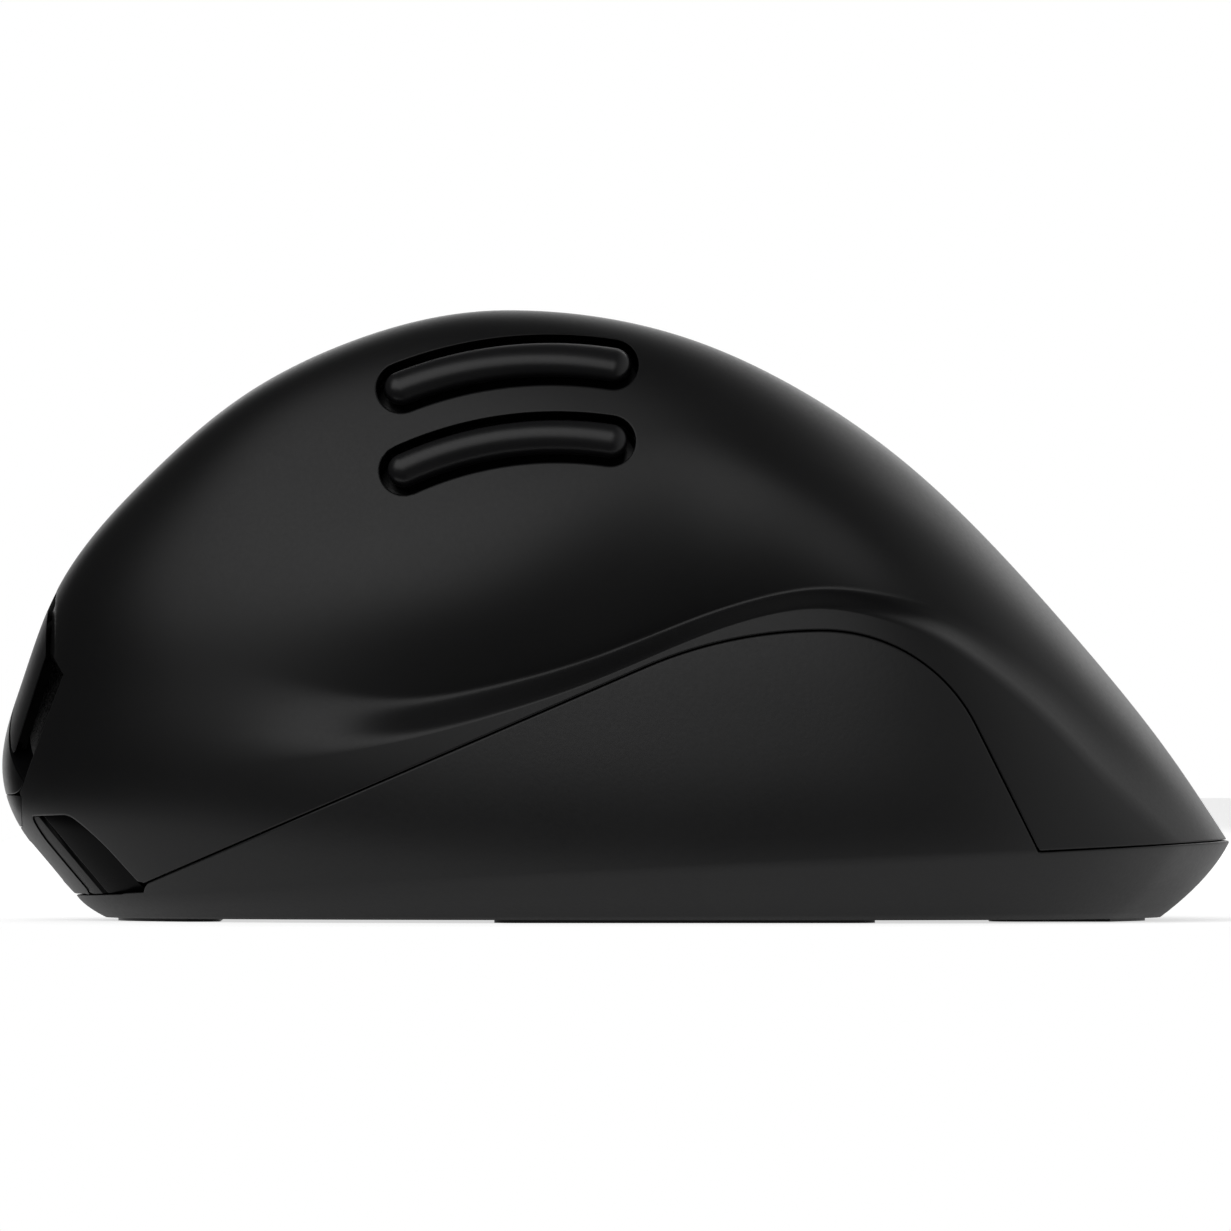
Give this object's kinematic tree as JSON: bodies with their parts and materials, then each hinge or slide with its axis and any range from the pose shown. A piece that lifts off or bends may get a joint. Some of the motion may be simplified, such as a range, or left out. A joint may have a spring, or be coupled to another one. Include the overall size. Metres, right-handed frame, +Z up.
{
  "type": "ergonomic mouse",
  "caption": "Right-handed ergonomic mouse with a steep finger side, thumb rest, scroll wheel, main, speed and thumb buttons, and slip pads underneath.",
  "frame": {"origin": "on the desk under the middle of the mouse's bounding box", "axes": "+X towards the thumb side, -Y towards the nose, +Z up"},
  "size_m": [0.0789, 0.1271, 0.0631],
  "materials": {
    "shell_plastic": "fine matte moulded ABS, charcoal black",
    "base_plastic": "moulded ABS with a fine sparked grain, charcoal black",
    "gloss_trim": "smooth black ABS",
    "button_gloss": "satin black ABS",
    "frame_plastic": "black glass-filled nylon",
    "hub_plastic": "dark moulded acetal",
    "tyre_rubber": "soft black rubber",
    "axle_steel": "ground steel",
    "socket_steel": "pressed stainless steel",
    "can_steel": "tinned steel",
    "screw_steel": "black zinc steel",
    "board": "green solder mask over glass laminate",
    "switch_body": "black thermoplastic",
    "plunger_plastic": "natural acetal",
    "chip_black": "black epoxy package",
    "lens_clear": "clear polycarbonate",
    "battery_foil": "laminated aluminium foil",
    "slider_plastic": "dark grey ABS",
    "skate_slip": "dark grey PTFE slip pad"
  },
  "bodies": {
    "housing": {"back_switch": "switch_body", "base_shell": "base_plastic", "battery_cell": "battery_foil", "board_screws": "screw_steel", "button_board": "board", "centre_strip": "gloss_trim", "charging_socket": "socket_steel", "forward_switch": "switch_body", "front_chin": "gloss_trim", "front_skate": "skate_slip", "housing_screws": "screw_steel", "inner_frame": "frame_plastic", "left_switch": "switch_body", "main_board": "board", "main_shell": "shell_plastic", "mid_left_skate": "skate_slip", "mid_right_skate": "skate_slip", "middle_switch": "switch_body", "nose_inlay": "gloss_trim", "optical_sensor": "chip_black", "pairing_switch": "switch_body", "power_switch": "switch_body", "radio_shield": "can_steel", "rear_left_skate": "skate_slip", "rear_right_skate": "skate_slip", "right_switch": "switch_body", "sensor_lens": "lens_clear", "speed_switch": "switch_body", "thumb_board": "board"},
    "left_button": {"left_button": "shell_plastic"},
    "right_button": {"right_button": "shell_plastic"},
    "left_plunger": {"left_plunger": "plunger_plastic"},
    "right_plunger": {"right_plunger": "plunger_plastic"},
    "wheel_carrier": {"wheel_carrier": "frame_plastic", "wheel_encoder": "switch_body"},
    "scroll_wheel": {"scroll_hub": "hub_plastic", "wheel_tyre": "tyre_rubber", "wheel_axle": "axle_steel"},
    "middle_plunger": {"middle_plunger": "plunger_plastic"},
    "speed_button": {"speed_button": "button_gloss"},
    "speed_plunger": {"speed_plunger": "plunger_plastic"},
    "forward_button": {"forward_button": "button_gloss"},
    "forward_plunger": {"forward_plunger": "plunger_plastic"},
    "back_button": {"back_button": "button_gloss"},
    "back_plunger": {"back_plunger": "plunger_plastic"},
    "power_slider": {"power_slider": "slider_plastic"},
    "pairing_button": {"pairing_button": "slider_plastic"}
  },
  "joints": [
    {"name": "left_click", "type": "hinge", "parent": "housing", "child": "left_button", "pos_m": [-0.0012, -0.00102, 0.05142], "axis": [0.6822, -0.1916, 0.7056], "range_deg": [0, 0.8], "stiffness_Nm_per_rad": 1.5, "springref_deg": -0.34},
    {"name": "right_click", "type": "hinge", "parent": "housing", "child": "right_button", "pos_m": [-0.01912, 0.00279, 0.03647], "axis": [0.6822, -0.1916, 0.7056], "range_deg": [0, 0.8], "stiffness_Nm_per_rad": 1.5, "springref_deg": -0.34},
    {"name": "left_switch_travel", "type": "slide", "parent": "housing", "child": "left_plunger", "axis": [0.728, 0.2684, -0.6309], "range_m": [0, 0.00056]},
    {"name": "right_switch_travel", "type": "slide", "parent": "housing", "child": "right_plunger", "axis": [0.728, 0.2684, -0.6309], "range_m": [0, 0.00056]},
    {"name": "wheel_press", "type": "slide", "parent": "housing", "child": "wheel_carrier", "axis": [0.728, 0.2684, -0.6309], "range_m": [0, 0.0005], "stiffness_N_per_m": 900, "springref_m": -0.0004},
    {"name": "wheel_spin", "type": "hinge", "parent": "wheel_carrier", "child": "scroll_wheel", "pos_m": [-0.01013, -0.03741, 0.03387], "axis": [0.6822, -0.1916, 0.7056], "continuous": true},
    {"name": "middle_switch_travel", "type": "slide", "parent": "housing", "child": "middle_plunger", "axis": [0.728, 0.2684, -0.6309], "range_m": [0, 0.0005]},
    {"name": "speed_press", "type": "slide", "parent": "housing", "child": "speed_button", "axis": [0.728, 0.2684, -0.6309], "range_m": [0, 0.0004], "stiffness_N_per_m": 900, "springref_m": -0.0004},
    {"name": "speed_switch_travel", "type": "slide", "parent": "housing", "child": "speed_plunger", "axis": [0.728, 0.2684, -0.6309], "range_m": [0, 0.0004]},
    {"name": "forward_press", "type": "slide", "parent": "housing", "child": "forward_button", "axis": [-1, 0, 0], "range_m": [0, 0.0006], "stiffness_N_per_m": 900, "springref_m": -0.0004},
    {"name": "forward_switch_travel", "type": "slide", "parent": "housing", "child": "forward_plunger", "axis": [-1, 0, 0], "range_m": [0, 0.0006]},
    {"name": "back_press", "type": "slide", "parent": "housing", "child": "back_button", "axis": [-1, 0, 0], "range_m": [0, 0.0006], "stiffness_N_per_m": 900, "springref_m": -0.0004},
    {"name": "back_switch_travel", "type": "slide", "parent": "housing", "child": "back_plunger", "axis": [-1, 0, 0], "range_m": [0, 0.0006]},
    {"name": "power_slide", "type": "slide", "parent": "housing", "child": "power_slider", "axis": [0, 1, 0], "range_m": [0, 0.003]},
    {"name": "pairing_press", "type": "slide", "parent": "housing", "child": "pairing_button", "axis": [0, 0, 1], "range_m": [0, 0.0004], "stiffness_N_per_m": 500, "springref_m": -0.0002}
  ],
  "couplings": [
    {"joint": "left_switch_travel", "follows": "left_click", "m_per_rad": 0.0394},
    {"joint": "right_switch_travel", "follows": "right_click", "m_per_rad": 0.0394},
    {"joint": "middle_switch_travel", "follows": "wheel_press", "ratio": 1},
    {"joint": "speed_switch_travel", "follows": "speed_press", "ratio": 1},
    {"joint": "forward_switch_travel", "follows": "forward_press", "ratio": 1},
    {"joint": "back_switch_travel", "follows": "back_press", "ratio": 1}
  ]
}
